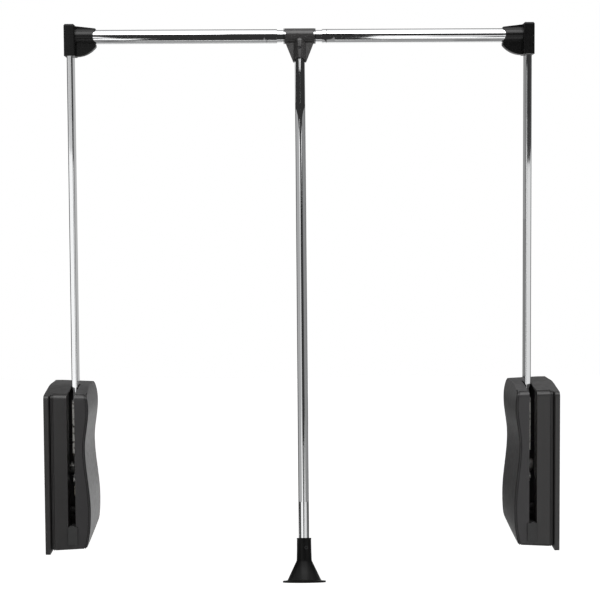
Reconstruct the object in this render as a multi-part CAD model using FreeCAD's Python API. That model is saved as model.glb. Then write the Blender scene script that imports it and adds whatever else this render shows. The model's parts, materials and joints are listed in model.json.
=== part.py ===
import FreeCAD, Part
import math
import os

from FreeCAD import Vector

# Pull-down closet rod (wardrobe lift), in millimetres.
# X runs across the wardrobe, from the left wall (X = 0) to the right wall.
# Y points to the back of the wardrobe, so the front is at -Y. Z is up.
# The arms turn about the line Y = 0, Z = 0. Every side piece is built for the
# left side and mirrored to the right.

# ---------------------------------------------------------------- sizes
wall_to_wall = 850.0        # distance between the two mounting faces
arm_x = 43.9                # from a mounting face to the middle of its arm

# Housing, seen from the side
front_y = -68.5             # plane of the front wall, without its raised panel
back_y = 78.0
top_z = 142.0
top_bend_y = 0.0            # where the flat top starts to fall towards the front
top_fall = 11.0             # how far it has fallen at the front wall
bottom_front_z = -126.0     # the underside rises from the front to the back
bottom_back_z = -104.0
top_bend_r = 200.0
front_top_r = 8.0
front_bottom_r = 4.5
back_top_r = 8.0
back_bottom_r = 10.0
shell_wall = 3.0
draft_width = 68.0          # the housing narrows away from the wall, by
draft = 2.7                 # this much on every side over the width above

# Mounting plate
plate_thick = 11.5
plate_flat = 7.5            # thickness before the bevel of its front and foot starts
plate_bevel = 7.0
plate_front = 1.5           # how far it stands out in front of the shells' front wall
plate_drop = 8.0            # how far it reaches below the shells
screw_hole_r = 2.75         # wall screws
screw_spacing_y = 96.0
screw_spacing_z = 160.0
screw_center_z = 20.0
countersink_r = 5.5
countersink_depth = 3.0

# Inner cover: how far its wavy face stands from the wall
wave_top = (65.0, 143.5)    # (X, Z) at the top edge
wave_crest = (73.1, 107.0)
wave_waist = (66.8, 42.0)
wave_belly = (75.0, -62.0)
wave_foot = (65.5, -129.0)
wave_top_lean = 0.55        # outward run per unit of fall at the top edge
wave_foot_lean = -0.4
cover_edge_r = 1.5
cover_toe = 0.6             # degrees that the wavy face turns in towards the back

# Slot that the arm swings through
slot_width = 12.6
slot_bottom_z = -87.0
slot_back_y = 19.0
slot_cheek = 2.0            # walls beside the slot that guide the arm behind the panel

# Raised panel that wraps the front of both halves: a border, a groove and the face
panel_proud = 1.5
panel_margin = 2.2          # from the plate
panel_gap = 0.3             # from the rounded edge of the wavy face
panel_border = 1.2          # widths along the sides
panel_groove = 1.4
panel_floor = 0.2           # what is left of the panel under the groove
panel_back_y = -43.0        # where the border ends on top, then the groove, then the face
panel_groove_y = -58.5
panel_face_y = -62.0
panel_corner_r = 5.0
panel_channel = 0.9         # width and depth of the shadow line round the border

# Buffer block that closes the foot of the slot
stop_foot_z = -117.0
stop_shoulder = 3.0         # it is wider than the slot on the cover's side
stop_gable = 2.4            # height of its rounded top in the slot
stop_gable_r = 6.0
stop_corner_r = 1.5
stop_back_y = -50.0
stop_proud = 0.4

# Pivot
pin_r = 4.0
running_gap = 0.05
side_gap = 0.3
hub_r = 11.0
hub_width = 18.0
bush_r = 6.0
bush_flange_r = 8.0
bush_flange = 1.0
pivot_boss_r = 10.0
pin_head_r = 6.5
pin_head = 2.0

# Toothed sector on the lever and the rack that it drives
gear_module = 3.0
gear_teeth = 18             # teeth on a full circle of this size
sector_teeth = 8
pressure_angle = math.radians(20.0)
backlash = 0.3
flank_steps = 5
rack_width = 13.0
rack_teeth = 8
rack_top_z = 14.0
rack_back_y = 44.0
spring_y = 37.5             # line of the spring and damper
rack_flange_r = 11.0
rack_flange = 3.5

# Lever and arm tube
tube_width = 10.0           # across the slot
tube_depth = 30.0
tube_wall = 1.2
tube_corner_r = 2.5
tube_foot_z = 27.0
tang_gap = 0.2
tang_top_z = 105.0
rivet_r = 3.0
rivet_heights = (45.0, 88.0)

# Rack guide
guide_half = 10.5
guide_foot_z = -56.0
guide_top_z = 12.0
guide_lip = 4.0
guide_gap = 0.08

# Spring and damper
spring_r = 9.0              # to the middle of the wire
wire_r = 1.5
spring_turns = 7
seat_z = 133.0
seat_r = 12.0
seat_socket = 4.0
damper_r = 4.5
damper_bore_r = 3.4
damper_foot_z = 60.0
damper_cap = 3.0
damper_rod_r = 1.8
damper_piston = 5.0
damper_rod_grip = 6.0       # how deep the rod sits in the rack, below the socket
rack_socket_r = 5.0         # socket in the rack that the damper sinks into
rack_socket_depth = 24.0

# Screws that hold the cover to the outer shell, from behind the shell
cover_screw_places = ((66.0, 128.0), (66.0, 35.0), (22.0, -75.0), (-36.0, -96.0))
cover_boss_r = 5.5
cover_screw_r = 2.0
cover_screw_head_r = 4.0
cover_screw_head = 2.4
cover_screw_recess = 9.0
cover_screw_grip = 12.0

# Rail
rail_z = 722.7
rail_r = 11.5
rail_wall = 1.5
rail_gap = 0.07             # between the outer tubes and the inner tube
rail_outer_end = 37.5       # from the middle to the open end of an outer tube
rail_end_clear = 27.1       # from the brackets' rail screws to the ends of the inner tube

# Corner bracket, measured from the middle of the arm and from the rail's line
socket_half_x = 9.0
socket_half_y = 18.0
socket_drop = 32.5
socket_rise = 19.8
socket_top_chamfer = 2.2
socket_corner = 1.5
arm_top_drop = 13.5
barrel_r = 13.2
barrel_reach = 42.0
mouth_r = 20.0
mouth_depth = 4.0
upper_web_half = 4.0
upper_web_fall = 6.0
upper_web_corner_r = 1.0
lower_web_half = 7.0
lower_web_r = 41.0
lower_web_reach = 42.5
cap_r = 10.6
cap_proud = 2.3
cap_plug = 10.0
cap_plug_gap = 0.05
cap_disc = 1.0
bracket_screw_r = 2.0
bracket_screw_head_r = 3.6
bracket_screw_head = 2.0
bracket_screw_grip = 6.0
bracket_screw_gap = 0.1     # between a head and its pocket
arm_screw_drop = 23.5
rail_screw_reach = 22.0

# Handle connector, measured from the rail's line
tee_half = 24.9
tee_r = 12.8
tee_gap = 0.05
tee_mouth_r = 24.0
tee_mouth_depth = 1.5
tee_collar = 1.2
tee_collar_gap = 0.4
stem_r = 10.6
stem_drop = 44.5
stem_arch_r = 14.0
stem_arch_depth = 4.0
rib_r = 7.2
rib_forward = 5.6
rib_drop = 4.0              # to the top of the rib's rounded head
tee_web_half = 4.0
tee_web_reach = 22.8
tee_screw_drop = 24.0
screw_head_r = 2.9
screw_head = 1.4
screw_shank_r = 1.5
screw_grip = 6.0
screw_cross = 3.6           # length of the cross recess
screw_cross_width = 0.7

# Handle rod and its bell-shaped end
handle_lean = 12.4          # degrees that the handle leans to the front
rod_r = 8.4
rod_wall = 1.2
rod_top_drop = 16.0
rod_length = 840.0
bell_socket = 30.4          # how deep the rod sits in the neck
bell_lip_r = 11.7
bell_lip = 1.5
bell_neck_r = 11.3
bell_neck_foot_r = 11.9
bell_neck_length = 34.8
bell_cone_r = 26.5
bell_cone_height = 30.5
bell_rim_r = 34.1
bell_rim = 2.8
bell_rim_step = 1.0
bell_brim_r = 1.1           # rounding of the rim
bell_wall = 2.6
bell_screw_turn = 17.0      # degrees to the right of the front
bell_screw_drop = 15.0      # below the top of the neck

# ---------------------------------------------------------------- worked out
middle_x = wall_to_wall / 2
bell_top_drop = rod_top_drop + rod_length - bell_socket
slot_left = arm_x - slot_width / 2
slot_right = arm_x + slot_width / 2
shell_floor = plate_thick + shell_wall
pitch_r = gear_module * gear_teeth / 2
gear_foot = 1.25 * gear_module          # depth of a tooth below the pitch line
rail_inner_r = rail_r - rail_wall - rail_gap
rail_inner_end = arm_x + rail_screw_reach + bracket_screw_r + rail_end_clear
front_face_y = front_y - panel_proud
arm_top_z = rail_z - arm_top_drop
arm_screw_z = rail_z - arm_screw_drop
tall = 400.0                # longer than any piece that it cuts


# ---------------------------------------------------------------- helpers
def box(x0, x1, y0, y1, z0, z1):
    return Part.makeBox(x1 - x0, y1 - y0, z1 - z0, Vector(x0, y0, z0))


def rod_x(x0, x1, r, y=0.0, z=0.0):
    return Part.makeCylinder(r, x1 - x0, Vector(x0, y, z), Vector(1, 0, 0))


def rod_y(y0, y1, r, x, z):
    return Part.makeCylinder(r, y1 - y0, Vector(x, y0, z), Vector(0, 1, 0))


def rod_z(z0, z1, r, x, y=0.0):
    return Part.makeCylinder(r, z1 - z0, Vector(x, y, z0), Vector(0, 0, 1))


def fused(shapes):
    return shapes[0].multiFuse(shapes[1:]).removeSplitter()


def rounded_outline(corners):
    """Closed wire through (u, v, radius) corners in the XY plane, each rounded by its radius."""
    ends = []
    edges = []
    count = len(corners)
    for i, (u, v, r) in enumerate(corners):
        here = Vector(u, v, 0)
        before = Vector(*corners[i - 1][:2], 0) - here
        after = Vector(*corners[(i + 1) % count][:2], 0) - here
        before.normalize()
        after.normalize()
        half = before.getAngle(after) / 2
        reach = r / math.tan(half)
        start = here + before * reach
        end = here + after * reach
        if r > 0:
            inward = before + after
            inward.normalize()
            middle = here + inward * (r / math.sin(half) - r)
            edges.append(Part.Arc(start, middle, end).toShape())
        ends.append((start, end))
    for i in range(count):
        run = (ends[i][1], ends[(i + 1) % count][0])
        if run[0].distanceToPoint(run[1]) > 1e-6:
            edges.append(Part.makeLine(*run))
    return Part.Wire(Part.__sortEdges__(edges))


def to_side(shape):
    """The shape turned from the XY plane to the YZ plane."""
    turned = shape.copy()
    turned.rotate(Vector(), Vector(1, 1, 1), 120)
    return turned


def across(face, x0, x1):
    """Prism of a YZ face between two X planes."""
    prism = face.extrude(Vector(x1 - x0, 0, 0))
    prism.translate(Vector(x0, 0, 0))
    return prism


def front_prism(corners, y0, y1):
    """Prism along Y of an outline given as (x, z, radius) corners."""
    face = Part.Face(rounded_outline(corners))
    face.rotate(Vector(), Vector(1, 0, 0), 90)
    prism = face.extrude(Vector(0, y1 - y0, 0))
    prism.translate(Vector(0, y0, 0))
    return prism


def revolved(outline, x, y):
    """Solid of (radius, z) points turned about the upright line through x, y."""
    points = [Vector(x + r, y, z) for r, z in outline]
    wire = Part.makePolygon(points + [points[0]])
    return Part.Face(wire).revolve(Vector(x, y, 0), Vector(0, 0, 1), 360)


def write(node, shape):
    shape.exportStep("parts/" + node + ".step")


def write_both(name, shape):
    write("left_" + name, shape)
    write("right_" + name, shape.mirror(Vector(middle_x, 0, 0), Vector(1, 0, 0)))


# ---------------------------------------------------------------- housing
def housing_outline(x, grow=0.0):
    """Side outline of the housing at this distance from the wall, moved out by grow."""
    inset = draft * (x - plate_thick) / draft_width - grow
    slope = top_fall / (top_bend_y - front_y)
    front = front_y + inset
    top = top_z - inset
    return rounded_outline(
        [
            (back_y - inset, top, back_top_r + grow),
            (top_bend_y, top, top_bend_r),
            (front, top - slope * (top_bend_y - front), front_top_r + grow),
            (front, bottom_front_z + inset, front_bottom_r + grow),
            (back_y - inset, bottom_back_z + inset, back_bottom_r + grow),
        ]
    )


def housing_blank(grow=0.0):
    """Drafted block with the housing's outline, from the plate to beyond the wavy face."""
    ends = []
    for x in (plate_thick, plate_thick + draft_width):
        wire = to_side(housing_outline(x, grow))
        wire.translate(Vector(x, 0, 0))
        ends.append(wire)
    return Part.makeLoft(ends, True, True)


def wave_prism(inset):
    """Everything on the wall's side of the cover's wavy face, moved in by inset."""
    marks = (wave_top, wave_crest, wave_waist, wave_belly, wave_foot)
    points = [Vector(x - inset, 0, z) for x, z in marks]
    down = Vector(0, 0, -1)
    leans = [Vector(wave_top_lean, 0, -1), down, down, down, Vector(wave_foot_lean, 0, -1)]
    curve = Part.BSplineCurve()
    curve.interpolate(Points=points, Tangents=leans, TangentFlags=[True] * len(points))
    top = Vector(0, 0, wave_top[1])
    foot = Vector(0, 0, wave_foot[1])
    wire = Part.Wire(
        [
            Part.makeLine(top, points[0]),
            curve.toShape(),
            Part.makeLine(points[-1], foot),
            Part.makeLine(foot, top),
        ]
    )
    prism = Part.Face(wire).extrude(Vector(0, tall, 0))
    prism.translate(Vector(0, -tall / 2, 0))
    prism.rotate(Vector(wave_waist[0], front_y, 0), Vector(0, 0, 1), cover_toe)
    return prism


def arm_slot():
    """Room for the arm, open to the front and the top, and below it the seat of the buffer."""
    slot = box(slot_left, slot_right, -tall, slot_back_y, slot_bottom_z, tall)
    seat = box(slot_left, slot_right + stop_shoulder, -tall, stop_back_y, stop_foot_z, slot_bottom_z)
    return fused([slot, seat])


def mount_plate():
    """Wall plate: flat back, bevelled front and foot, four countersunk screw holes."""
    slope = top_fall / (top_bend_y - front_y)
    ends = []
    for x, bevel in ((0, 0), (plate_flat, 0), (plate_thick, plate_bevel)):
        front = front_y - plate_front + bevel
        outline = rounded_outline(
            [
                (back_y, top_z, back_top_r),
                (top_bend_y, top_z, top_bend_r),
                (front, top_z - slope * (top_bend_y - front), front_top_r),
                (front, bottom_front_z - plate_drop + bevel, front_bottom_r),
                (back_y, bottom_back_z - plate_drop + bevel, back_bottom_r),
            ]
        )
        wire = to_side(outline)
        wire.translate(Vector(x, 0, 0))
        ends.append(wire)
    plate = Part.makeLoft(ends, True, True)
    for y in (-screw_spacing_y / 2, screw_spacing_y / 2):
        for z in (-screw_spacing_z / 2, screw_spacing_z / 2):
            at = screw_center_z + z
            hole = rod_x(-1, plate_thick + 1, screw_hole_r, y, at)
            sink = Part.makeCone(
                screw_hole_r,
                countersink_r,
                countersink_depth,
                Vector(plate_thick - countersink_depth, y, at),
                Vector(1, 0, 0),
            )
            plate = plate.cut(hole.fuse(sink))
    return plate


def panel_zone(wavy, inset, back_edge):
    """Block inside the panel's outline, moved in by inset and ending at back_edge."""
    if not wavy:
        near = plate_thick + panel_margin + inset
        return box(near, arm_x, -tall, back_edge, -tall, tall)
    zone = box(arm_x, tall, -tall, back_edge, -tall, tall)
    zone = zone.common(wave_prism(cover_edge_r + panel_gap + inset))
    corner = [
        e
        for e in zone.Edges
        if min(v.X for v in e.Vertexes) > slot_right + 1
        and min(v.Y for v in e.Vertexes) > back_edge - 1
        and e.Length > tall / 2
    ]
    return zone.makeFillet(panel_corner_r - inset, corner)


def front_panel(wavy):
    """Raised panel on one half: a border that wraps over the top, a groove and the face."""
    whole = panel_zone(wavy, 0, panel_back_y)
    inside = panel_zone(wavy, panel_border, panel_groove_y)
    face = panel_zone(wavy, panel_border + panel_groove, panel_face_y)
    high = housing_blank(panel_proud)
    border = high.common(whole).cut(inside)
    panel = fused([housing_blank(panel_floor).common(whole), border, high.common(face)])
    if wavy:
        hollow = box(slot_right + slot_cheek, tall, -tall, tall, -tall, tall)
        hollow = hollow.common(wave_prism(shell_wall))
    else:
        hollow = box(0, slot_left - slot_cheek, -tall, tall, -tall, tall)
    return panel.cut(housing_blank(-shell_wall).common(hollow))


def panel_channel_room(wavy):
    """Shadow line round the panel's border, cut into the shell."""
    room = panel_zone(wavy, -panel_channel, panel_back_y + panel_channel)
    room = room.cut(panel_zone(wavy, 0, panel_back_y))
    return room.cut(housing_blank(-panel_channel))


def outer_shell():
    """Tray on the wall's side: floor, rim, screw posts and the outer pivot boss."""
    half = box(plate_thick, arm_x, -tall, tall, -tall, tall)
    blank = housing_blank()
    hollow = housing_blank(-shell_wall).common(box(shell_floor, tall, -tall, tall, -tall, tall))
    body = blank.common(half).cut(hollow).cut(panel_channel_room(False))
    inside = housing_blank(-shell_wall / 2).common(half)
    added = [body, front_panel(False)]
    for y, z in cover_screw_places:
        added.append(rod_x(plate_thick, arm_x, cover_boss_r, y, z).common(inside))
    hub_side = arm_x - hub_width / 2 - bush_flange - side_gap
    added.append(rod_x(plate_thick, hub_side, pivot_boss_r))
    body = fused(added).cut(arm_slot())
    for y, z in cover_screw_places:
        body = body.cut(rod_x(plate_thick, arm_x + 1, cover_screw_r, y, z))
        recess = plate_thick + cover_screw_recess
        body = body.cut(rod_x(plate_thick - 1, recess, cover_screw_head_r + side_gap, y, z))
    pin = rod_x(plate_thick + pin_head, arm_x, pin_r + running_gap)
    head = rod_x(plate_thick - 1, plate_thick + pin_head, pin_head_r)
    return body.cut(pin).cut(head)


def inner_cover():
    """Wavy moulded cover on the arm's other side, with its screw posts and pivot boss."""
    half = box(arm_x, tall, -tall, tall, -tall, tall)
    body = housing_blank().common(half).common(wave_prism(0))
    rim = [
        e
        for e in body.Edges
        if min(v.X for v in e.Vertexes) > slot_right and e.Length > cover_edge_r
    ]
    body = body.makeFillet(cover_edge_r, rim)
    room = box(arm_x - 1, tall, -tall, tall, -tall, tall)
    hollow = housing_blank(-shell_wall).common(room).common(wave_prism(shell_wall))
    shell = body.cut(hollow).cut(panel_channel_room(True))
    added = [shell, front_panel(True)]
    inside = body.common(wave_prism(shell_wall / 2)).common(housing_blank(-shell_wall / 2))
    for y, z in cover_screw_places:
        added.append(rod_x(arm_x, tall, cover_boss_r, y, z).common(inside))
    hub_side = arm_x + hub_width / 2 + bush_flange + side_gap
    added.append(rod_x(hub_side, tall, pivot_boss_r).common(inside))
    shell = fused(added).cut(arm_slot())
    for y, z in cover_screw_places:
        shell = shell.cut(rod_x(arm_x - 1, arm_x + cover_screw_grip, cover_screw_r, y, z))
    return shell.cut(rod_x(arm_x, wave_waist[0] - shell_wall, pin_r + running_gap))


def slot_stop():
    x1 = slot_right + stop_shoulder
    outline = [
        (slot_left, stop_foot_z, 0),
        (x1, stop_foot_z, 0),
        (x1, slot_bottom_z, stop_corner_r),
        (slot_right, slot_bottom_z, 0),
        (arm_x, slot_bottom_z + stop_gable, stop_gable_r),
        (slot_left, slot_bottom_z, 0),
    ]
    return front_prism(outline, front_face_y - stop_proud, stop_back_y)


def pivot_pin():
    foot = plate_thick
    end = wave_waist[0] - shell_wall - side_gap
    return fused([rod_x(foot, end, pin_r), rod_x(foot, foot + pin_head, pin_head_r)])


def cover_screws():
    screws = []
    for y, z in cover_screw_places:
        head_x = plate_thick + cover_screw_recess - cover_screw_head
        shank = rod_x(head_x, arm_x + cover_screw_grip - side_gap, cover_screw_r, y, z)
        head = rod_x(head_x, head_x + cover_screw_head, cover_screw_head_r, y, z)
        screws.append(shank.fuse(head).removeSplitter())
    return Part.makeCompound(screws)


def rack_guide():
    """Nylon channel on the back wall that keeps the rack in mesh."""
    block = box(
        arm_x - guide_half,
        arm_x + guide_half,
        rack_back_y - guide_lip,
        back_y,
        guide_foot_z,
        guide_top_z,
    )
    block = block.common(housing_blank(-shell_wall))
    half = rack_width / 2 + guide_gap
    channel = box(
        arm_x - half,
        arm_x + half,
        -tall,
        rack_back_y + guide_gap,
        guide_foot_z - 1,
        guide_top_z + 1,
    )
    return block.cut(channel)


# ---------------------------------------------------------------- return mechanism
def involute_point(base_r, r, turn):
    """Point at radius r on the involute of a base circle, turned about the centre."""
    roll = math.sqrt(max((r / base_r) ** 2 - 1, 0))
    angle = roll - math.atan(roll)
    return Vector(0, r * math.cos(turn + angle), r * math.sin(turn + angle))


def gear_tooth(turn):
    """One tooth of the sector in the YZ plane, its middle at this angle from +Y."""
    base_r = pitch_r * math.cos(pressure_angle)
    root_r = pitch_r - gear_foot
    tip_r = pitch_r + gear_module
    tooth_half = (math.pi * gear_module / 2 - backlash / 2) / (2 * pitch_r)
    to_pitch = math.tan(pressure_angle) - pressure_angle
    start = -tooth_half - to_pitch
    radii = [base_r + (tip_r - base_r) * i / (flank_steps - 1) for i in range(flank_steps)]
    lower = [involute_point(base_r, r, start) for r in radii]
    upper = [Vector(0, p.y, -p.z) for p in lower]
    rise = [Part.BSplineCurve(), Part.BSplineCurve()]
    rise[0].interpolate(lower)
    rise[1].interpolate(upper)
    sunk = root_r - gear_module
    foot = [Vector(0, sunk * math.cos(start), sign * sunk * math.sin(start)) for sign in (1, -1)]
    edges = [
        Part.makeLine(foot[0], lower[0]),
        rise[0].toShape(),
        Part.Arc(lower[-1], Vector(0, tip_r, 0), upper[-1]).toShape(),
        rise[1].toShape(),
        Part.makeLine(upper[0], foot[1]),
        Part.makeLine(foot[1], foot[0]),
    ]
    face = Part.Face(Part.Wire(Part.__sortEdges__(edges)))
    face.rotate(Vector(), Vector(1, 0, 0), math.degrees(turn))
    return face


def lever():
    """Steel lever: hub on the pivot, tang up into the arm tube, toothed sector behind."""
    thick = tube_width - 2 * tube_wall - 2 * tang_gap
    x0 = arm_x - thick / 2
    x1 = arm_x + thick / 2
    root_r = pitch_r - gear_foot
    tooth_turn = 2 * math.pi / gear_teeth
    sweep = math.degrees((sector_teeth - 0.1) * tooth_turn)
    sector = Part.makeCylinder(root_r, thick, Vector(), Vector(0, 0, 1), sweep)
    sector = to_side(sector)
    sector.rotate(Vector(), Vector(1, 0, 0), math.degrees(0.45 * tooth_turn) - sweep)
    sector.translate(Vector(x0, 0, 0))
    tang_half = tube_depth / 2 - tube_wall - tang_gap
    tang = arm_section(thick, 2 * tang_half, tube_corner_r - tube_wall)
    pieces = [
        rod_x(arm_x - hub_width / 2, arm_x + hub_width / 2, hub_r),
        rod_x(x0, x1, tang_half),
        upright(tang, 0, tang_top_z),
        sector,
    ]
    for i in range(sector_teeth):
        pieces.append(across(gear_tooth(-i * tooth_turn), x0, x1))
    body = fused(pieces).cut(rod_x(0, wall_to_wall, bush_r))
    for z in rivet_heights:
        body = body.cut(rod_x(0, wall_to_wall, rivet_r, 0, z))
    return body


def lever_rivets():
    x0 = arm_x - tube_width / 2
    x1 = arm_x + tube_width / 2
    return Part.makeCompound([rod_x(x0, x1, rivet_r, 0, z) for z in rivet_heights])


def pivot_bushes():
    bushes = []
    for side in (-1, 1):
        edge = arm_x + side * hub_width / 2
        deep = edge - side * (hub_width / 2 - 1)
        out = edge + side * bush_flange
        sleeve = rod_x(min(deep, edge), max(deep, edge), bush_r)
        flange = rod_x(min(edge, out), max(edge, out), bush_flange_r)
        bush = fused([sleeve, flange]).cut(rod_x(0, wall_to_wall, pin_r + running_gap))
        bushes.append(bush)
    return Part.makeCompound(bushes)


def rack():
    """Rack plunger: teeth towards the sector, spring flange on top."""
    pitch = math.pi * gear_module
    tooth_half = pitch / 4 - backlash / 4
    lean = math.tan(pressure_angle)
    root_y = pitch_r + gear_foot
    tip_y = pitch_r - gear_module
    foot_half = tooth_half + gear_foot * lean
    tip_half = tooth_half - gear_module * lean
    lowest = -(rack_teeth - 0.5) * pitch
    points = [Vector(0, rack_back_y, rack_top_z), Vector(0, root_y, rack_top_z)]
    for i in range(rack_teeth):
        middle = (0.5 - i) * pitch
        points.append(Vector(0, root_y, middle + foot_half))
        points.append(Vector(0, tip_y, middle + tip_half))
        points.append(Vector(0, tip_y, middle - tip_half))
        points.append(Vector(0, root_y, middle - foot_half))
    points.append(Vector(0, root_y, lowest))
    points.append(Vector(0, rack_back_y, lowest))
    face = Part.Face(Part.makePolygon(points + [points[0]]))
    bar = across(face, arm_x - rack_width / 2, arm_x + rack_width / 2)
    flange = rod_z(rack_top_z, rack_top_z + rack_flange, rack_flange_r, arm_x, spring_y)
    top = rack_top_z + rack_flange
    socket_foot = top - rack_socket_depth
    socket = rod_z(socket_foot, top + 1, rack_socket_r, arm_x, spring_y)
    grip = rod_z(socket_foot - damper_rod_grip, top, damper_rod_r, arm_x, spring_y)
    return fused([bar, flange]).cut(socket).cut(grip)


def damper_rod():
    foot = rack_top_z + rack_flange - rack_socket_depth - damper_rod_grip
    piston_foot = damper_foot_z + damper_cap + 1
    piston_top = piston_foot + damper_piston
    stem = rod_z(foot, piston_top, damper_rod_r, arm_x, spring_y)
    piston_r = damper_bore_r - running_gap
    return fused([stem, rod_z(piston_foot, piston_top, piston_r, arm_x, spring_y)])


def damper_cylinder():
    top = seat_z + seat_socket
    body = rod_z(damper_foot_z, top, damper_r, arm_x, spring_y)
    bore = rod_z(damper_foot_z + damper_cap, top - damper_cap, damper_bore_r, arm_x, spring_y)
    mouth = rod_z(damper_foot_z - 1, top - damper_cap, damper_rod_r + running_gap, arm_x, spring_y)
    return body.cut(bore).cut(mouth)


def spring_seat():
    cup = rod_z(seat_z, top_z, seat_r, arm_x, spring_y)
    cup = cup.common(housing_blank(-shell_wall))
    return cup.cut(rod_z(seat_z - 1, seat_z + seat_socket, damper_r, arm_x, spring_y))


def return_spring():
    foot = rack_top_z + rack_flange + wire_r
    height = seat_z - wire_r - foot
    helix = Part.makeHelix(height / spring_turns, height, spring_r)
    ring = Part.Wire(Part.makeCircle(wire_r, Vector(spring_r, 0, 0), Vector(0, 1, 0)))
    coil = Part.Wire(helix).makePipeShell([ring], True, True)
    coil.translate(Vector(arm_x, spring_y, foot))
    return coil


# ---------------------------------------------------------------- arm, bracket and rail
def arm_section(width, depth, r):
    """Rounded rectangle in the XY plane, centred on the arm."""
    u = width / 2
    v = depth / 2
    outline = [(-u, -v, r), (u, -v, r), (u, v, r), (-u, v, r)]
    face = Part.Face(rounded_outline(outline))
    face.translate(Vector(arm_x, 0, 0))
    return face


def upright(face, z0, z1):
    prism = face.extrude(Vector(0, 0, z1 - z0))
    prism.translate(Vector(0, 0, z0))
    return prism


def arm_screw_hole():
    return rod_y(0, tall, bracket_screw_r, arm_x, arm_screw_z)


def rail_screw_hole():
    return rod_y(0, tall, bracket_screw_r, arm_x + rail_screw_reach, rail_z)


def arm_tube():
    outside = arm_section(tube_width, tube_depth, tube_corner_r)
    inside = arm_section(
        tube_width - 2 * tube_wall, tube_depth - 2 * tube_wall, tube_corner_r - tube_wall
    )
    tube = upright(outside, tube_foot_z, arm_top_z)
    tube = tube.cut(upright(inside, tube_foot_z - 1, arm_top_z + 1))
    for z in rivet_heights:
        tube = tube.cut(rod_x(0, wall_to_wall, rivet_r, 0, z))
    return tube.cut(arm_screw_hole())


def corner_bracket():
    """Black corner piece: socket for the arm, barrel for the rail, webs between them."""
    x0 = arm_x - socket_half_x
    x1 = arm_x + socket_half_x
    foot_z = rail_z - socket_drop
    top = rail_z + socket_rise
    block = box(x0, x1, -socket_half_y, socket_half_y, foot_z, top)
    upright_edges = [
        e for e in block.Edges if abs(e.Vertexes[0].Z - e.Vertexes[1].Z) > socket_half_y
    ]
    block = block.makeFillet(socket_corner, upright_edges)
    top_edges = [e for e in block.Edges if all(v.Z > top - 0.01 for v in e.Vertexes)]
    block = block.makeChamfer(socket_top_chamfer, top_edges)
    mouth_x = arm_x + barrel_reach
    barrel = rod_x(arm_x, mouth_x, barrel_r, 0, rail_z)

    upper = front_prism(
        [
            (arm_x, top - socket_top_chamfer, 0),
            (arm_x, rail_z, 0),
            (mouth_x, rail_z, 0),
            (mouth_x, top - upper_web_fall, upper_web_corner_r),
            (x1, top - socket_top_chamfer, 0),
        ],
        -upper_web_half,
        upper_web_half,
    )
    tip = Vector(arm_x + lower_web_reach, 0, 0)
    start = Vector(x1 + 1, 0, foot_z)
    run = tip.x - start.x
    rise = lower_web_r - math.sqrt(lower_web_r**2 - run**2)
    half_run = run / 2
    half_rise = lower_web_r - math.sqrt(lower_web_r**2 - half_run**2)
    tip.z = start.z + rise
    sweep = Part.Arc(start, start + Vector(half_run, 0, half_rise), tip).toShape()
    corners = [tip, Vector(tip.x, 0, rail_z), Vector(arm_x, 0, rail_z)]
    corners += [Vector(arm_x, 0, start.z), start]
    lines = [Part.makeLine(a, b) for a, b in zip(corners, corners[1:])]
    lower = Part.Face(Part.Wire([sweep] + lines)).extrude(Vector(0, 2 * lower_web_half, 0))
    lower.translate(Vector(0, -lower_web_half, 0))

    body = fused([block, barrel, upper, lower])
    bite = rod_y(-tall, tall, mouth_r, mouth_x + mouth_r - mouth_depth, rail_z)
    body = body.cut(bite)
    body = body.cut(rod_x(x0 - 1, mouth_x + 2, rail_r, 0, rail_z))
    pocket = arm_section(tube_width, tube_depth, tube_corner_r)
    body = body.cut(upright(pocket, foot_z - 1, arm_top_z))
    body = body.cut(arm_screw_hole()).cut(rail_screw_hole())
    for pocket in bracket_screw_pockets():
        body = body.cut(pocket)
    return body


def bracket_screw_seats():
    """Each bracket screw's X, Z and the Y of the face under its head."""
    return (
        (arm_x, arm_screw_z, socket_half_y - bracket_screw_head),
        (arm_x + rail_screw_reach, rail_z, barrel_r - bracket_screw_head / 2),
    )


def bracket_screw_pockets():
    """Pockets of the two screw heads, open to the back."""
    seats = bracket_screw_seats()
    return [rod_y(y, tall, bracket_screw_head_r, x, z) for x, z, y in seats]


def bracket_screws():
    head_r = bracket_screw_head_r - bracket_screw_gap
    screws = []
    for x, z, seat in bracket_screw_seats():
        shank = rod_y(seat - bracket_screw_grip, seat, bracket_screw_r, x, z)
        head = rod_y(seat, seat + bracket_screw_head, head_r, x, z)
        screws.append(shank.fuse(head).removeSplitter())
    return Part.makeCompound(screws)


def bracket_cap():
    """Round plug that closes the rail's end on the outer face of the bracket."""
    face_x = arm_x - socket_half_x
    dome_r = (cap_r**2 + cap_proud**2) / (2 * cap_proud)
    ball = Part.makeSphere(dome_r, Vector(face_x - cap_proud + dome_r, 0, rail_z))
    dome = ball.common(rod_x(face_x - cap_proud - 1, face_x, cap_r, 0, rail_z))
    plug_r = rail_r - rail_wall - cap_plug_gap
    disc = rod_x(face_x, face_x + cap_disc, rail_r, 0, rail_z)
    plug = rod_x(face_x, face_x + cap_plug, plug_r, 0, rail_z)
    return fused([dome, disc, plug])


def rail_tube():
    x0 = arm_x - socket_half_x + cap_disc
    x1 = middle_x - rail_outer_end
    tube = rod_x(x0, x1, rail_r, 0, rail_z)
    tube = tube.cut(rod_x(x0 - 1, x1 + 1, rail_r - rail_wall, 0, rail_z))
    return tube.cut(rail_screw_hole())


def inner_rail_tube():
    x0 = rail_inner_end
    x1 = wall_to_wall - rail_inner_end
    tube = rod_x(x0, x1, rail_inner_r, 0, rail_z)
    return tube.cut(rod_x(x0 - 1, x1 + 1, rail_inner_r - rail_wall, 0, rail_z))


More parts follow.
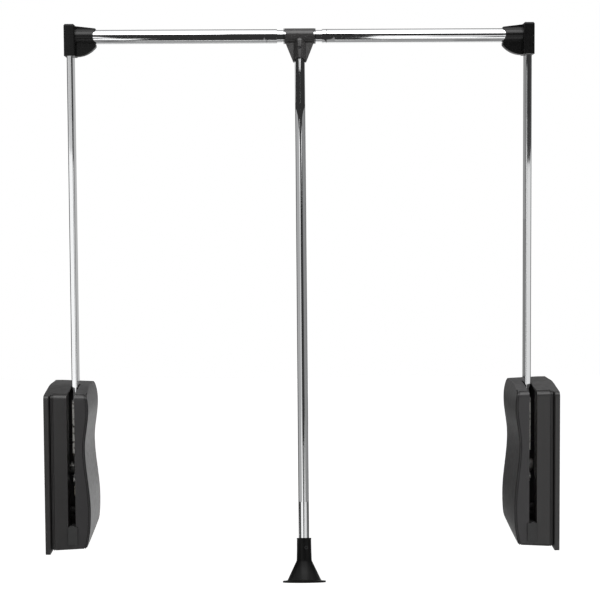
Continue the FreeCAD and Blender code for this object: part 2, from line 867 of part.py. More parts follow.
# ---------------------------------------------------------------- handle
def leaning(shape):
    """A handle piece, built upright below the rail, turned to the handle's lean."""
    turned = shape.copy()
    turned.rotate(Vector(middle_x, 0, rail_z), Vector(1, 0, 0), -handle_lean)
    return turned


def front_screw(seat_y, z):
    """Pan-head screw in the handle's middle plane, its head's underside at seat_y."""
    shank = rod_y(seat_y, seat_y + screw_grip, screw_shank_r, middle_x, z)
    head = rod_y(seat_y - screw_head, seat_y, screw_head_r, middle_x, z)
    half = screw_cross / 2
    wide = screw_cross_width / 2
    foot = seat_y - screw_head / 2
    bar = box(middle_x - half, middle_x + half, -tall, foot, z - wide, z + wide)
    upright_bar = box(middle_x - wide, middle_x + wide, -tall, foot, z - half, z + half)
    return fused([shank, head]).cut(bar).cut(upright_bar)


def screw_room(seat_y, z):
    """Bore of a screw's shank and the recess of its head."""
    shank = rod_y(seat_y, seat_y + screw_grip, screw_shank_r, middle_x, z)
    return shank.fuse(rod_y(-tall, seat_y, screw_head_r + side_gap / 2, middle_x, z))


def tee_seat():
    return (-(rib_forward + rib_r) + screw_head, rail_z - tee_screw_drop)


def bell_seat():
    return (-bell_neck_r + screw_head / 2, rail_z - bell_top_drop - bell_screw_drop)


def turned_to_screw(shape):
    """Moves a piece from the handle's front to the bell screw's side."""
    turned = shape.copy()
    turned.rotate(Vector(middle_x, 0, 0), Vector(0, 0, 1), bell_screw_turn)
    return turned


def handle_tee():
    """Connector that swivels on the rail and holds the handle rod."""
    x0 = middle_x - tee_half
    x1 = middle_x + tee_half
    foot_z = rail_z - stem_drop
    rib_head_z = rail_z - rib_drop - rib_r
    barrel = rod_x(x0, x1, tee_r, 0, rail_z)
    stem = rod_z(foot_z, rail_z, stem_r, middle_x)
    rib = rod_z(foot_z, rib_head_z, rib_r, middle_x, -rib_forward)
    head = Part.makeSphere(rib_r, Vector(middle_x, -rib_forward, rib_head_z))
    web = front_prism(
        [
            (middle_x - tee_web_reach, rail_z, 0),
            (middle_x - tee_web_reach, rail_z - tee_r, 0),
            (middle_x - stem_r, foot_z, 0),
            (middle_x + stem_r, foot_z, 0),
            (middle_x + tee_web_reach, rail_z - tee_r, 0),
            (middle_x + tee_web_reach, rail_z, 0),
        ],
        -tee_web_half,
        tee_web_half,
    )
    body = fused([barrel, stem, rib, head, web])
    for side in (-1, 1):
        bite_x = middle_x + side * (tee_half + tee_mouth_r - tee_mouth_depth)
        body = body.cut(rod_y(-tall, tall, tee_mouth_r, bite_x, rail_z))
    arch_z = foot_z + stem_arch_depth - stem_arch_r
    body = body.cut(rod_y(-tall, tall, stem_arch_r, middle_x, arch_z))
    body = body.cut(rod_x(x0 - 1, x1 + 1, rail_inner_r + tee_gap, 0, rail_z))
    body = body.cut(rod_z(foot_z - 1, rail_z - rod_top_drop, rod_r, middle_x))
    return leaning(body.cut(screw_room(*tee_seat())))


def tee_screw():
    return leaning(front_screw(*tee_seat()))


def tee_collars():
    """Thin rings on the inner tube that keep the connector in the middle."""
    rings = []
    for side in (-1, 1):
        near = middle_x + side * (tee_half + tee_collar_gap)
        far = near + side * tee_collar
        ring = rod_x(min(near, far), max(near, far), tee_r, 0, rail_z)
        rings.append(ring.cut(rod_x(0, wall_to_wall, rail_inner_r, 0, rail_z)))
    return Part.makeCompound(rings)


def handle_rod():
    top = rail_z - rod_top_drop
    foot = top - rod_length
    tube = rod_z(foot, top, rod_r, middle_x)
    tube = tube.cut(rod_z(foot - 1, top + 1, rod_r - rod_wall, middle_x))
    tube = tube.cut(screw_room(*tee_seat()))
    return leaning(tube.cut(turned_to_screw(screw_room(*bell_seat()))))


def handle_bell():
    """Bell-shaped pull at the rod's foot: socket neck, hollow cone and a thin brim."""
    top = rail_z - bell_top_drop
    neck_foot = top - bell_neck_length
    cone_foot = neck_foot - bell_cone_height
    rim_top = cone_foot - bell_rim_step
    rim_foot = rim_top - bell_rim
    floor = neck_foot - bell_wall
    outline = [
        (0, top),
        (bell_lip_r, top),
        (bell_lip_r, top - bell_lip),
        (bell_neck_r, top - bell_lip),
        (bell_neck_foot_r, neck_foot),
        (bell_cone_r, cone_foot),
        (bell_rim_r, rim_top),
        (bell_rim_r, rim_foot),
        (bell_cone_r, rim_foot),
        (bell_neck_foot_r - bell_wall, floor),
        (0, floor),
    ]
    body = revolved(outline, middle_x, 0)
    brim = [e for e in body.Edges if abs(e.BoundBox.XLength - 2 * bell_rim_r) < 1e-3]
    body = body.makeFillet(bell_brim_r, brim)
    body = body.cut(rod_z(rail_z - rod_top_drop - rod_length, rail_z, rod_r, middle_x))
    return leaning(body.cut(turned_to_screw(screw_room(*bell_seat()))))


def bell_screw():
    return leaning(turned_to_screw(front_screw(*bell_seat())))


# ---------------------------------------------------------------- build
os.makedirs("parts", exist_ok=True)

write_both("mount_plate", mount_plate())
write_both("outer_shell", outer_shell())
write_both("inner_cover", inner_cover())
write_both("slot_stop", slot_stop())
write_both("pivot_pin", pivot_pin())
write_both("cover_screws", cover_screws())
write_both("rack_guide", rack_guide())
write_both("spring_seat", spring_seat())
write_both("damper_cylinder", damper_cylinder())
write_both("return_spring", return_spring())
write_both("rack", rack())
write_both("damper_rod", damper_rod())
write_both("lever", lever())
write_both("pivot_bushes", pivot_bushes())
write_both("lever_rivets", lever_rivets())
write_both("arm_tube", arm_tube())
write_both("corner_bracket", corner_bracket())
write_both("bracket_screws", bracket_screws())
write_both("bracket_cap", bracket_cap())
write_both("rail_tube", rail_tube())
write("inner_rail_tube", inner_rail_tube())
write("tee_collars", tee_collars())
write("handle_tee", handle_tee())
write("tee_screw", tee_screw())
write("handle_rod", handle_rod())
write("handle_bell", handle_bell())
write("bell_screw", bell_screw())
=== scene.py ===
# %% [markdown]
# # Pull-down closet rod
# A wardrobe lift: two sprung housings are screwed to the side walls, their arms carry a
# telescopic hanging rail, and a handle on a swivelling connector pulls the rail down.
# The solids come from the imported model, already in place. This lesson gives each piece
# the finish of the real thing. It models one piece again, the bell-shaped pull, whose
# look depends on small soft radii.

# %% Load the fixed frame
import json
import math

import bmesh
import bpy
from mathutils import Matrix, Vector


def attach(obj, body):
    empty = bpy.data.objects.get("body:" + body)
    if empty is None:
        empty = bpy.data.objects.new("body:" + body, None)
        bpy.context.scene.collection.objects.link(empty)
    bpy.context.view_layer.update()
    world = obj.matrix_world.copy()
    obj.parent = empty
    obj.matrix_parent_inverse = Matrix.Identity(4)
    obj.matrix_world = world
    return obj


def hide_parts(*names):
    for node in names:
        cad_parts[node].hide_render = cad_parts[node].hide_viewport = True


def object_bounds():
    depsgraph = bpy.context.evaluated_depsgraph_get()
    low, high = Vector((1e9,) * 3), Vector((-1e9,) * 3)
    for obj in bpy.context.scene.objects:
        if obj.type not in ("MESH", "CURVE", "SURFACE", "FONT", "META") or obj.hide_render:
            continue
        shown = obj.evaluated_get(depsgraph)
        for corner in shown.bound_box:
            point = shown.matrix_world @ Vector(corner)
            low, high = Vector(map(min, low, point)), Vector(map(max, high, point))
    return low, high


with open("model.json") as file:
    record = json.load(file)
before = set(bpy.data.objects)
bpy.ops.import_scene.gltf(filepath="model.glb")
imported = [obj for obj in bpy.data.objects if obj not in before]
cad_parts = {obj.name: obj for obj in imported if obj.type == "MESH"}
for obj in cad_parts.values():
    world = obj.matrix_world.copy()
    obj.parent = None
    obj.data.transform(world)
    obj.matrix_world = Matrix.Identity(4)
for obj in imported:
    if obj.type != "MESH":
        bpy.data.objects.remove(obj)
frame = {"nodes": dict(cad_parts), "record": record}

cad_box = [list(corner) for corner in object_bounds()]
nodes = frame["nodes"]

# %% [markdown]
# ## Tools for the materials
# Colours are picked as sRGB hex values, the way a paint chart gives them, but a shader
# wants linear light, so one function turns them. One more function adds a shader node,
# sets its values and links it, so each material below reads as a short list.

# %% Colour and node helpers
MM = 0.001
BLACK = (0, 0, 0, 1)
WHITE = (1, 1, 1, 1)
MIX_A, MIX_B, MIX_RESULT = 6, 7, 2      # a Mix node's sockets for colours


def linear(hex_colour, level=1.0):
    """sRGB hex, such as "3a3b3c", as linear RGBA, made darker or lighter by level."""
    channels = [int(hex_colour[i : i + 2], 16) / 255 for i in (0, 2, 4)]
    curve = [c / 12.92 if c <= 0.04045 else ((c + 0.055) / 1.055) ** 2.4 for c in channels]
    return (*[min(c * level, 1.0) for c in curve], 1.0)


def add(tree, kind, values=None, links=None, **settings):
    """Adds a node; values fill its sockets, links join them to a (node, output)."""
    node = tree.nodes.new(kind)
    for name, value in settings.items():
        setattr(node, name, value)
    for name, value in (values or {}).items():
        node.inputs[name].default_value = value
    for name, (source, output) in (links or {}).items():
        tree.links.new(source.outputs[output], node.inputs[name])
    return node


def new_material(name):
    """An empty material: itself, its tree and its Principled shader."""
    material = bpy.data.materials.new(name)
    material.use_nodes = True
    tree = material.node_tree
    tree.nodes.clear()
    shader = add(tree, "ShaderNodeBsdfPrincipled")
    add(tree, "ShaderNodeOutputMaterial", links={"Surface": (shader, "BSDF")})
    return material, tree, shader


# %% [markdown]
# ## Spark-textured ABS for the housings
# The housing halves are injection-moulded ABS. The mould is spark-eroded, which leaves
# a fine even grain of about 0.3 mm that scatters the light and hides scratches. It is
# too fine to show from two metres, so it is drawn at 0.6 mm. Two slower patterns ride
# on it: the flow of the melt, which changes the tone a little over a hand's width, and
# the haze that handling leaves, which changes the gloss. Painted edge lines would be one
# way to show the mould's small radii; a Bevel node rounds the shading there instead, so
# the lines come from the light and stay right from every side.
# Narrow grooves also get painted shade: the colour is darkened where little light reaches them.

# %% Moulded plastic
GRAIN = 0.6 * MM
GRAIN_DEPTH = 0.05 * MM
GRAIN_STRENGTH = 0.25
HAZE = 9 * MM
FLOW = 60 * MM
FLOW_TONES = (0.86, 1.12)   # darkest and lightest tone along the flow
MARKS_SPAN = (0.7, 1.3)     # what grain and haze mostly add up to
GLOSS_SWING = 0.06          # how far they move the roughness
GROOVE = 3 * MM             # grooves narrower than this get painted shade
PLASTIC_IOR = 1.53
ABS_EDGE = 0.8 * MM
NYLON_EDGE = 0.9 * MM


def moulded_plastic(name, colour, gloss, edge, shine=0.5):
    """Moulded plastic: gloss is its mean roughness, edge its corner radius, shine its skin."""
    material, tree, shader = new_material(name)
    here = {"Vector": (add(tree, "ShaderNodeTexCoord"), "Object")}
    grain = add(tree, "ShaderNodeTexNoise", {"Scale": 1 / GRAIN, "Detail": 2.0}, here)
    haze = add(tree, "ShaderNodeTexNoise", {"Scale": 1 / HAZE, "Detail": 3.0}, here)
    flow = add(tree, "ShaderNodeTexNoise", {"Scale": 1 / FLOW, "Detail": 2.0}, here)
    darkest, lightest = (linear(colour, tone) for tone in FLOW_TONES)
    tint = add(
        tree,
        "ShaderNodeMix",
        {MIX_A: darkest, MIX_B: lightest},
        {"Factor": (flow, "Fac")},
        data_type="RGBA",
    )
    # Painted shade: ambient occlusion darkens the colour in grooves, recesses and between
    # parts.
    painted_groove_shade = add(tree, "ShaderNodeAmbientOcclusion", {"Distance": GROOVE}, samples=6)
    tone = add(
        tree,
        "ShaderNodeMix",
        {"Factor": 1.0},
        {MIX_A: (tint, MIX_RESULT), MIX_B: (painted_groove_shade, "Color")},
        data_type="RGBA",
        blend_type="MULTIPLY",
    )
    marks = add(tree, "ShaderNodeMath", {}, {0: (grain, "Fac"), 1: (haze, "Fac")})
    rough = add(
        tree,
        "ShaderNodeMapRange",
        {
            "From Min": MARKS_SPAN[0],
            "From Max": MARKS_SPAN[1],
            "To Min": gloss - GLOSS_SWING,
            "To Max": gloss + GLOSS_SWING,
        },
        {"Value": (marks, "Value")},
    )
    rounded = add(tree, "ShaderNodeBevel", {"Radius": edge}, samples=6)
    bump = add(
        tree,
        "ShaderNodeBump",
        {"Strength": GRAIN_STRENGTH, "Distance": GRAIN_DEPTH},
        {"Height": (grain, "Fac"), "Normal": (rounded, "Normal")},
    )
    shader.inputs["IOR"].default_value = PLASTIC_IOR
    shader.inputs["Specular IOR Level"].default_value = shine
    tree.links.new(tone.outputs[MIX_RESULT], shader.inputs["Base Color"])
    tree.links.new(rough.outputs["Result"], shader.inputs["Roughness"])
    tree.links.new(bump.outputs["Normal"], shader.inputs["Normal"])
    return material


housing_abs = moulded_plastic("spark_textured_abs_housing", "2b2a2a", 0.36, ABS_EDGE)
cover_abs = moulded_plastic("spark_textured_abs_cover", "302f30", 0.36, ABS_EDGE)
black_nylon = moulded_plastic("satin_black_polyamide", "0c0c0c", 0.24, NYLON_EDGE, 0.32)
bell_nylon = moulded_plastic("deep_black_polyamide", "0a0a0a", 0.34, 0.6 * MM, 0.12)
grey_nylon = moulded_plastic("satin_grey_polyamide", "343333", 0.24, NYLON_EDGE)
buffer_elastomer = moulded_plastic("moulded_elastomer", "2a2a2a", 0.6, 0.5 * MM)
nylon = moulded_plastic("natural_nylon", "c9c4b6", 0.42, 0.3 * MM)
plastics = (
    housing_abs, cover_abs, black_nylon, bell_nylon, grey_nylon, buffer_elastomer, nylon
)
print("plastics", len(plastics))

# %% [markdown]
# ## Bright chrome for the tubes
# The tubes are drawn steel, polished, then plated with nickel and a thin blue-white
# layer of chrome. The plating is nearly a mirror: what it shows is the studio, so its
# own detail is a slight waviness from the drawing and the faint haze of the polish.
# Zinc plating, plain stamped steel, black oxide and oiled wire are made the same way,
# with more haze.

# %% Plated metals
SWELL = 25 * MM             # length of the waves that drawing leaves
SWELL_DEPTH = 0.1 * MM
POLISH = 3 * MM
POLISH_SPAN = (0.3, 0.7)    # what the polish's noise mostly gives
POLISH_GLOSS = (0.7, 1.4)   # what that does to the roughness, as factors
METAL_EDGE = 0.3 * MM
CHROME_COLOUR = "f4f5f6"
CHROME_GLOSS = 0.05


def plated_metal(name, colour, gloss, wave):
    """Metal with a plated skin: gloss is its mean roughness, wave the drawn tube's swell."""
    material, tree, shader = new_material(name)
    here = {"Vector": (add(tree, "ShaderNodeTexCoord"), "Object")}
    drawn = add(tree, "ShaderNodeTexNoise", {"Scale": 1 / SWELL, "Detail": 1.0}, here)
    haze = add(tree, "ShaderNodeTexNoise", {"Scale": 1 / POLISH, "Detail": 4.0}, here)
    rough = add(
        tree,
        "ShaderNodeMapRange",
        {
            "From Min": POLISH_SPAN[0],
            "From Max": POLISH_SPAN[1],
            "To Min": gloss * POLISH_GLOSS[0],
            "To Max": gloss * POLISH_GLOSS[1],
        },
        {"Value": (haze, "Fac")},
    )
    rounded = add(tree, "ShaderNodeBevel", {"Radius": METAL_EDGE}, samples=4)
    bump = add(
        tree,
        "ShaderNodeBump",
        {"Strength": wave, "Distance": SWELL_DEPTH},
        {"Height": (drawn, "Fac"), "Normal": (rounded, "Normal")},
    )
    shader.inputs["Base Color"].default_value = linear(colour)
    shader.inputs["Metallic"].default_value = 1.0
    tree.links.new(rough.outputs["Result"], shader.inputs["Roughness"])
    tree.links.new(bump.outputs["Normal"], shader.inputs["Normal"])
    return material


chrome = plated_metal("bright_chrome_plate", CHROME_COLOUR, CHROME_GLOSS, 0.06)
zinc = plated_metal("bright_zinc_plate", "c4c7cb", 0.22, 0.3)
stamped_steel = plated_metal("zinc_plated_stamping", "c8c8c6", 0.46, 0.4)
blackened_steel = plated_metal("black_oxide_steel", "3a3a3b", 0.34, 0.3)
spring_wire = plated_metal("oiled_spring_wire", "74757a", 0.30, 0.3)
metals = (chrome, zinc, stamped_steel, blackened_steel, spring_wire)
print("metals", len(metals))

# %% [markdown]
# ## The arm's foot
# The arm is a flat tube that ends inside its housing. Only the part in view is polished
# and chromed. The foot, which the lever is riveted into, stays dull, with smears of
# grease. Two materials on one solid would need its mesh cut in two, so one material
# changes from the first finish to the second at a height of the arm.

# %% Chrome above, dull and greasy below
FOOT_TOP = 118 * MM
FOOT_FADE = 6 * MM
FOOT_GLOSS = 0.45
SMEAR = 7 * MM
SMEAR_SPAN = (0.52, 0.64)   # noise below it is clean metal, above it grease
CLEAN_COLOUR = "e4e3de"
GREASE_COLOUR = "45433e"

arm_chrome, arm_tree, arm_shader = new_material("chrome_plate_with_zinc_foot")
on_arm = {"Vector": (add(arm_tree, "ShaderNodeTexCoord"), "Object")}
axes = add(arm_tree, "ShaderNodeSeparateXYZ", {}, on_arm)
smear = add(arm_tree, "ShaderNodeTexNoise", {"Scale": 1 / SMEAR, "Detail": 4.0}, on_arm)
polished = add(
    arm_tree,
    "ShaderNodeMapRange",
    {"From Min": FOOT_TOP - FOOT_FADE, "From Max": FOOT_TOP},
    {"Value": (axes, "Z")},
)
smeared = add(
    arm_tree,
    "ShaderNodeMapRange",
    {"From Min": SMEAR_SPAN[0], "From Max": SMEAR_SPAN[1]},
    {"Value": (smear, "Fac")},
)
greasy = add(
    arm_tree,
    "ShaderNodeMix",
    {MIX_A: linear(CLEAN_COLOUR), MIX_B: linear(GREASE_COLOUR)},
    {"Factor": (smeared, "Result")},
    data_type="RGBA",
)
plate = add(
    arm_tree,
    "ShaderNodeMix",
    {MIX_B: linear(CHROME_COLOUR)},
    {"Factor": (polished, "Result"), MIX_A: (greasy, MIX_RESULT)},
    data_type="RGBA",
)
arm_gloss = add(
    arm_tree,
    "ShaderNodeMapRange",
    {"To Min": FOOT_GLOSS, "To Max": CHROME_GLOSS},
    {"Value": (polished, "Result")},
)
arm_edge = add(arm_tree, "ShaderNodeBevel", {"Radius": METAL_EDGE}, samples=4)
arm_tree.links.new(polished.outputs["Result"], arm_shader.inputs["Metallic"])
arm_tree.links.new(plate.outputs[MIX_RESULT], arm_shader.inputs["Base Color"])
arm_tree.links.new(arm_gloss.outputs["Result"], arm_shader.inputs["Roughness"])
arm_tree.links.new(arm_edge.outputs["Normal"], arm_shader.inputs["Normal"])
print("arm foot below", round(FOOT_TOP / MM), "mm")

# %% [markdown]
# ## Each solid gets its finish
# The record names a material slot for every piece. Going through the slots keeps the
# finishes and the record in step. A few pieces differ from the rest of their slot.

# %% Dress the solids
finish_of_slot = {
    "chrome": chrome,
    "housing_plastic": housing_abs,
    "cover_plastic": cover_abs,
    "black_plastic": black_nylon,
    "buffer_rubber": buffer_elastomer,
    "nylon": nylon,
    "lever_steel": stamped_steel,
    "plated_steel": zinc,
    "spring_steel": spring_wire,
}
own_finish = {
    "left_arm_tube": arm_chrome,
    "right_arm_tube": arm_chrome,
    "handle_tee": grey_nylon,
    "tee_screw": blackened_steel,
    "bell_screw": blackened_steel,
}
slot_of = {s["node"]: s["material_slot"] for s in frame["record"]["subparts"]}
for name, solid in nodes.items():
    solid.data.materials.clear()
    solid.data.materials.append(own_finish.get(name, finish_of_slot[slot_of[name]]))
finishes = {solid.data.materials[0].name for solid in nodes.values()}
print("dressed", len(nodes), "pieces in", len(finishes), "finishes")

# %% [markdown]
# ## The bell-shaped pull
# The pull is one hollow moulding: a socket for the rod, a cone for the hand to slide
# down and a thin brim that stops it. Everything about it is round, so it is made as on
# a lathe: half its outline is drawn once and spun about the handle's own line. The line
# leans, because the handle rests leaning a little to the front.

# %% The handle's own line
HANDLE_LEAN = math.radians(12.4)
RAIL_HEIGHT = 722.7 * MM
middle = (cad_box[0][0] + cad_box[1][0]) / 2
on_handle = Matrix.Translation((middle, 0, RAIL_HEIGHT)) @ Matrix.Rotation(-HANDLE_LEAN, 4, "X")
print("handle leans", round(math.degrees(HANDLE_LEAN), 1), "degrees")

# %% Finished pieces from a bmesh
WELD = 0.01 * MM            # points nearer than this are one point
LATHE_STEPS = 128


def finish_piece(name, form, body, material, replaced):
    """Turns a bmesh into a piece that rides on a body and stands for solids."""
    bmesh.ops.remove_doubles(form, verts=form.verts, dist=WELD)
    bmesh.ops.recalc_face_normals(form, faces=form.faces)
    mesh = bpy.data.meshes.new(name)
    form.to_mesh(mesh)
    form.free()
    mesh.materials.append(material)
    piece = bpy.data.objects.new(name, mesh)
    bpy.context.collection.objects.link(piece)
    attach(piece, body)
    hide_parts(*replaced)
    print(name, len(mesh.polygons), "faces")


def lathe(outline):
    """Spins an outline of (radius, height) in mm, with both ends on the Z axis, about Z."""
    form = bmesh.new()
    ring = [form.verts.new((r * MM, 0, z * MM)) for r, z in outline]
    edges = [form.edges.new((a, b)) for a, b in zip(ring, ring[1:])]
    bmesh.ops.spin(
        form,
        geom=ring + edges,
        axis=(0, 0, 1),
        cent=(0, 0, 0),
        steps=LATHE_STEPS,
        angle=2 * math.pi,
        use_merge=True,
    )
    bmesh.ops.remove_doubles(form, verts=form.verts, dist=WELD)
    bmesh.ops.recalc_face_normals(form, faces=form.faces)
    return form


def soften(form, radius, crease):
    """Rounds every edge that turns by more than crease, in radians, and shades it smooth."""
    sharp = [
        e
        for e in form.edges
        if len(e.link_faces) == 2 and e.calc_face_angle(0) > crease
    ]
    bmesh.ops.bevel(
        form,
        geom=sharp,
        offset=radius,
        offset_type="OFFSET",
        segments=3,
        profile=0.5,
        affect="EDGES",
        clamp_overlap=True,
        material=-1,
    )
    for face in form.faces:
        face.smooth = True


# %% Bell
BELL_DROP = 825.6           # from the rail's line down to the top of the neck
BELL_EDGE = 0.5 * MM
BELL_CREASE = math.radians(30)
# The rod's socket, the neck and its lip, the cone, the brim's top, its rim, the hollow
bell_outline = [
    (0, -30.4), (8.45, -30.4), (8.45, 0),
    (11.7, 0), (11.7, -1.5), (11.3, -1.9), (11.5, -18), (11.9, -34.2),
    (12.6, -36.4), (26.2, -64.8), (27.6, -65.9),
    (33.95, -66.4), (33.95, -68.95), (27.4, -68.95),
    (24.2, -66.4), (9.3, -37.4), (0, -37.4),
]
bell = lathe(bell_outline)
soften(bell, BELL_EDGE, BELL_CREASE)
bmesh.ops.transform(
    bell, matrix=on_handle @ Matrix.Translation((0, 0, -BELL_DROP * MM)), verts=bell.verts
)
finish_piece("bell_pull", bell, "handle", bell_nylon, ["handle_bell"])

# %% [markdown]
# ## Studio: the room that the chrome shows
# A chrome tube shows its surroundings, so the studio is laid out as for silverware: the
# room is white, and plain cards stand round the object. Dark cards behind and below the
# camera draw the black band along the rail, cards behind and beside the object draw the
# edges of the tubes and the tone of the housings, small ones close to the rod shade its
# sides, and grey ones below soften the undersides. The cards are seen only in
# reflections: they light no matt surface, throw no shadow and stay out of view. Each is
# seen from one side only, so that a card close to one tube doesn't show in the next.

# %% World
AMBIENT = 0.26
world = bpy.data.worlds.new("studio")
bpy.context.scene.world = world
world.use_nodes = True
sky = world.node_tree
sky.nodes.clear()
sky_rays = add(sky, "ShaderNodeLightPath")
ambient = add(sky, "ShaderNodeBackground", {"Color": WHITE, "Strength": AMBIENT})
white = add(sky, "ShaderNodeBackground", {"Color": WHITE, "Strength": 1.0})
seen_or_mirrored = add(
    sky,
    "ShaderNodeMath",
    {},
    {0: (sky_rays, "Is Camera Ray"), 1: (sky_rays, "Is Glossy Ray")},
    operation="MAXIMUM",
)
seen_at_all = add(
    sky,
    "ShaderNodeMath",
    {},
    {0: (seen_or_mirrored, "Value"), 1: (sky_rays, "Is Transmission Ray")},
    operation="MAXIMUM",
)
room = add(
    sky,
    "ShaderNodeMixShader",
    {},
    {0: (seen_at_all, "Value"), 1: (ambient, "Background"), 2: (white, "Background")},
)
add(sky, "ShaderNodeOutputWorld", {}, {"Surface": (room, "Shader")})
print("white room, ambient light", AMBIENT)

# %% Lamps


def area_lamp(name, place, target, size, watts, mirrored=False):
    """A rectangular soft box at place that shines at target; mirrored if gloss shows it."""
    lamp = bpy.data.lights.new(name, "AREA")
    lamp.shape = "RECTANGLE"
    lamp.size, lamp.size_y = size
    lamp.energy = watts
    stand = bpy.data.objects.new(name, lamp)
    bpy.context.collection.objects.link(stand)
    stand.location = place
    stand.rotation_euler = (Vector(target) - Vector(place)).to_track_quat("-Z", "Y").to_euler()
    stand.visible_camera = False
    stand.visible_glossy = mirrored


# Name, place, target, size, watts, and True if gloss shows it
lamps = [
    ("overhead_box", (0.42, -0.75, 1.75), (0.42, 0.0, 0.1), (2.0, 1.0), 16, True),
    ("right_box", (2.6, -0.3, 0.9), (0.1, 0.0, 0.0), (1.2, 1.8), 48),
    ("left_box", (-1.9, -1.8, 0.9), (0.7, 0.0, 0.1), (1.0, 1.6), 4),
    ("camera_box", (0.39, -2.7, 0.45), (0.42, 0.0, 0.1), (0.5, 0.5), 20),
]
for lamp_row in lamps:
    area_lamp(*lamp_row)
print("lamps", len(lamps))

# %% Cards
TO_RIGHT, TO_LEFT = (1, 0, 0), (-1, 0, 0)
TO_BACK, TO_FRONT = (0, 1, 0), (0, -1, 0)
UP, DOWN = (0, 0, 1), (0, 0, -1)
TO_RIGHT_BACK, TO_LEFT_BACK = (0.916, 0.40, 0), (-0.91, 0.414, 0)
DOWN_AND_BACK = (0, 0.7, -0.7)
VELVET = 0.03               # how bright black velvet looks


def card(name, centre, facing, size, level, lean=0.0):
    """A plain card at centre that looks level bright from the side it faces. Its foot
    leans to the front by lean, in radians."""
    sheet = bmesh.new()
    bmesh.ops.create_grid(sheet, x_segments=1, y_segments=1, size=0.5)
    bmesh.ops.scale(sheet, vec=(*size, 1), verts=sheet.verts)
    turn = Vector(facing).to_track_quat("Z", "Y").to_matrix().to_4x4()
    stand = Matrix.Translation(centre) @ Matrix.Rotation(-lean, 4, "X")
    bmesh.ops.transform(sheet, matrix=stand @ turn, verts=sheet.verts)
    mesh = bpy.data.meshes.new(name)
    sheet.to_mesh(mesh)
    sheet.free()
    paint, tree, shader = new_material(name + "_paper")
    shader.inputs["Base Color"].default_value = BLACK
    shader.inputs["Specular IOR Level"].default_value = 0.0
    shader.inputs["Emission Color"].default_value = WHITE
    shader.inputs["Emission Strength"].default_value = level
    side = add(tree, "ShaderNodeNewGeometry")
    front_only = add(
        tree,
        "ShaderNodeMath",
        {0: 1.0},
        {1: (side, "Backfacing")},
        operation="SUBTRACT",
    )
    tree.links.new(front_only.outputs["Value"], shader.inputs["Alpha"])
    mesh.materials.append(paint)
    board = bpy.data.objects.new(name, mesh)
    bpy.context.collection.objects.link(board)
    board.visible_camera = False
    board.visible_diffuse = False
    board.visible_transmission = False
    board.visible_shadow = False


# Name, centre, the side it faces, size, brightness and lean
cards = [
    ("camera_side_low", (0.25, -2.6, -0.35), TO_BACK, (0.94, 2.2), VELVET),
    ("camera_side_high", (0.52, -2.6, 1.40), TO_BACK, (1.66, 1.30), VELVET),
    ("camera_side_floor", (0.31, -1.60, -1.30), UP, (0.82, 2.0), VELVET),
    ("left_floor", (-0.45, -0.80, -1.30), UP, (0.70, 1.3), 0.22),
    ("right_floor", (1.15, -0.80, -1.30), UP, (0.86, 1.3), 0.27),
    ("camera_side_left", (-0.935, -2.6, -1.00), TO_BACK, (1.33, 1.2), 0.10),
    ("camera_side_right", (1.825, -2.6, -1.00), TO_BACK, (1.35, 1.2), 0.06),
    ("left_front_high", (-1.01, -1.25, 1.10), TO_RIGHT_BACK, (3.7, 0.90), 0.62),
    ("right_front_high", (1.75, -1.50, 1.10), TO_LEFT_BACK, (3.7, 1.00), 0.05),
    ("right_front_low", (1.75, -1.50, -0.35), TO_LEFT_BACK, (3.7, 1.90), 0.74),
    ("rod_side_left", (0.365, -0.115, 0.33), TO_RIGHT, (0.10, 0.72), 0.40, HANDLE_LEAN),
    ("rod_side_right", (0.485, -0.115, 0.33), TO_LEFT, (0.10, 0.72), 0.26, HANDLE_LEAN),
    ("tee_side_left", (0.37, -0.09, 0.68), TO_RIGHT, (0.20, 0.14), VELVET),
    ("tee_side_right", (0.47, -0.09, 0.68), TO_LEFT, (0.20, 0.14), VELVET),
    ("bell_ceiling", (0.42, -1.90, 1.75), DOWN_AND_BACK, (0.40, 1.50), VELVET),
    ("rod_flag_left", (0.225, -0.25, 0.75), TO_BACK, (0.35, 0.10), VELVET),
    ("rod_flag_right", (0.625, -0.25, 0.75), TO_BACK, (0.35, 0.10), VELVET),
    ("left_flag", (-1.0, 0.75, 0.3), TO_RIGHT, (3.4, 1.2), 0.08),
    ("right_flag", (2.0, 0.5, 0.3), TO_LEFT, (3.4, 2.0), 0.14),
    ("left_backdrop", (-1.80, 4.0, 1.75), TO_FRONT, (4.4, 2.7), 0.27),
    ("left_backdrop_middle", (-1.80, 4.0, 0.05), TO_FRONT, (4.4, 0.7), 0.22),
    ("left_backdrop_low", (-1.75, 4.0, -1.4), TO_FRONT, (4.5, 2.2), 0.05),
    ("right_backdrop", (2.20, 4.0, 1.60), TO_FRONT, (3.6, 4.2), 0.46),
    ("right_top_flag", (1.60, 3.9, 0.85), TO_FRONT, (1.20, 0.9), 0.08),
    ("low_backdrop", (0.42, 0.8, -1.2), UP, (4.0, 2.5), 0.33),
    ("high_backdrop", (0.42, 1.6, 2.0), DOWN, (4.0, 1.7), 0.10),
]
for card_row in cards:
    card(*card_row)
print("cards", len(cards))

# %% [markdown]
# ## Floor
# The lift hangs between the wardrobe's walls, so the floor is well below it: a sheet of
# white paper. It is lit by the lamps like anything else. For the camera and in
# reflections it also glows, so that it meets the white room with no line.

# %% Floor
FLOOR_PLACE = (0.42, 0.0, -1.55)
FLOOR_REACH = 15.0
FLOOR_GLOW = 0.80

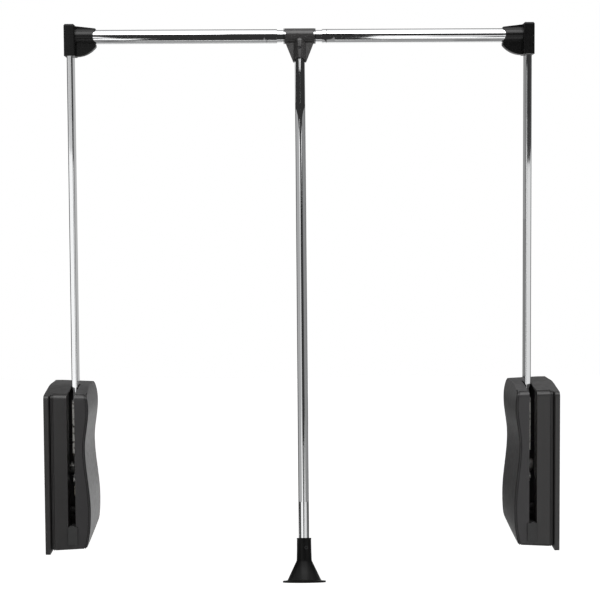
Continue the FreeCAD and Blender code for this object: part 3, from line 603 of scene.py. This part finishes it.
bed = bmesh.new()
bmesh.ops.create_grid(bed, x_segments=1, y_segments=1, size=FLOOR_REACH)
bmesh.ops.translate(bed, vec=FLOOR_PLACE, verts=bed.verts)
floor_mesh = bpy.data.meshes.new("floor")
bed.to_mesh(floor_mesh)
bed.free()
floor = bpy.data.objects.new("floor", floor_mesh)
bpy.context.collection.objects.link(floor)
paper, floor_tree, floor_shader = new_material("white_paper_floor")
floor_shader.inputs["Base Color"].default_value = linear("f4f4f3")
floor_shader.inputs["Roughness"].default_value = 0.9
floor_shader.inputs["Emission Color"].default_value = WHITE
floor_rays = add(floor_tree, "ShaderNodeLightPath")
floor_seen = add(
    floor_tree,
    "ShaderNodeMath",
    {},
    {0: (floor_rays, "Is Camera Ray"), 1: (floor_rays, "Is Glossy Ray")},
    operation="MAXIMUM",
)
floor_glow = add(
    floor_tree,
    "ShaderNodeMath",
    {1: FLOOR_GLOW},
    {0: (floor_seen, "Value")},
    operation="MULTIPLY",
)
floor_tree.links.new(floor_glow.outputs["Value"], floor_shader.inputs["Emission Strength"])
floor_mesh.materials.append(paper)
print("floor at", FLOOR_PLACE[2], "m")

# %% [markdown]
# ## Camera
# The camera stands a little to the left of the middle, somewhat above half the height of
# the arms, and looks slightly down, with the very small roll of a hand-levelled tripod.

# %% Camera
CAMERA_PLACE = (0.3913, -2.4516, 0.4266)
SENSOR_WIDTH = 36.0         # mm
FOCAL_LENGTH = 87.455       # mm
VIEW_DEPTH = 60.0           # m
YAW = 0.0130                # radians, turned to the right
PITCH = 0.0589              # radians, turned down
ROLL = 0.0060               # radians, its right side dips

camera_data = bpy.data.cameras.new("camera")
camera_data.sensor_width = SENSOR_WIDTH
camera_data.lens = FOCAL_LENGTH
camera_data.clip_end = VIEW_DEPTH
camera = bpy.data.objects.new("camera", camera_data)
bpy.context.collection.objects.link(camera)
bpy.context.scene.camera = camera
forward = Vector(
    (math.sin(YAW) * math.cos(PITCH), math.cos(YAW) * math.cos(PITCH), -math.sin(PITCH))
)
level_right = Vector((math.cos(YAW), -math.sin(YAW), 0))
level_up = level_right.cross(forward)
right = math.cos(ROLL) * level_right - math.sin(ROLL) * level_up
upward = right.cross(forward)
turn = Matrix((right, upward, -forward)).transposed().to_4x4()
camera.matrix_world = Matrix.Translation(CAMERA_PLACE) @ turn

bpy.context.scene.view_settings.view_transform = "Standard"
print("camera at", CAMERA_PLACE)
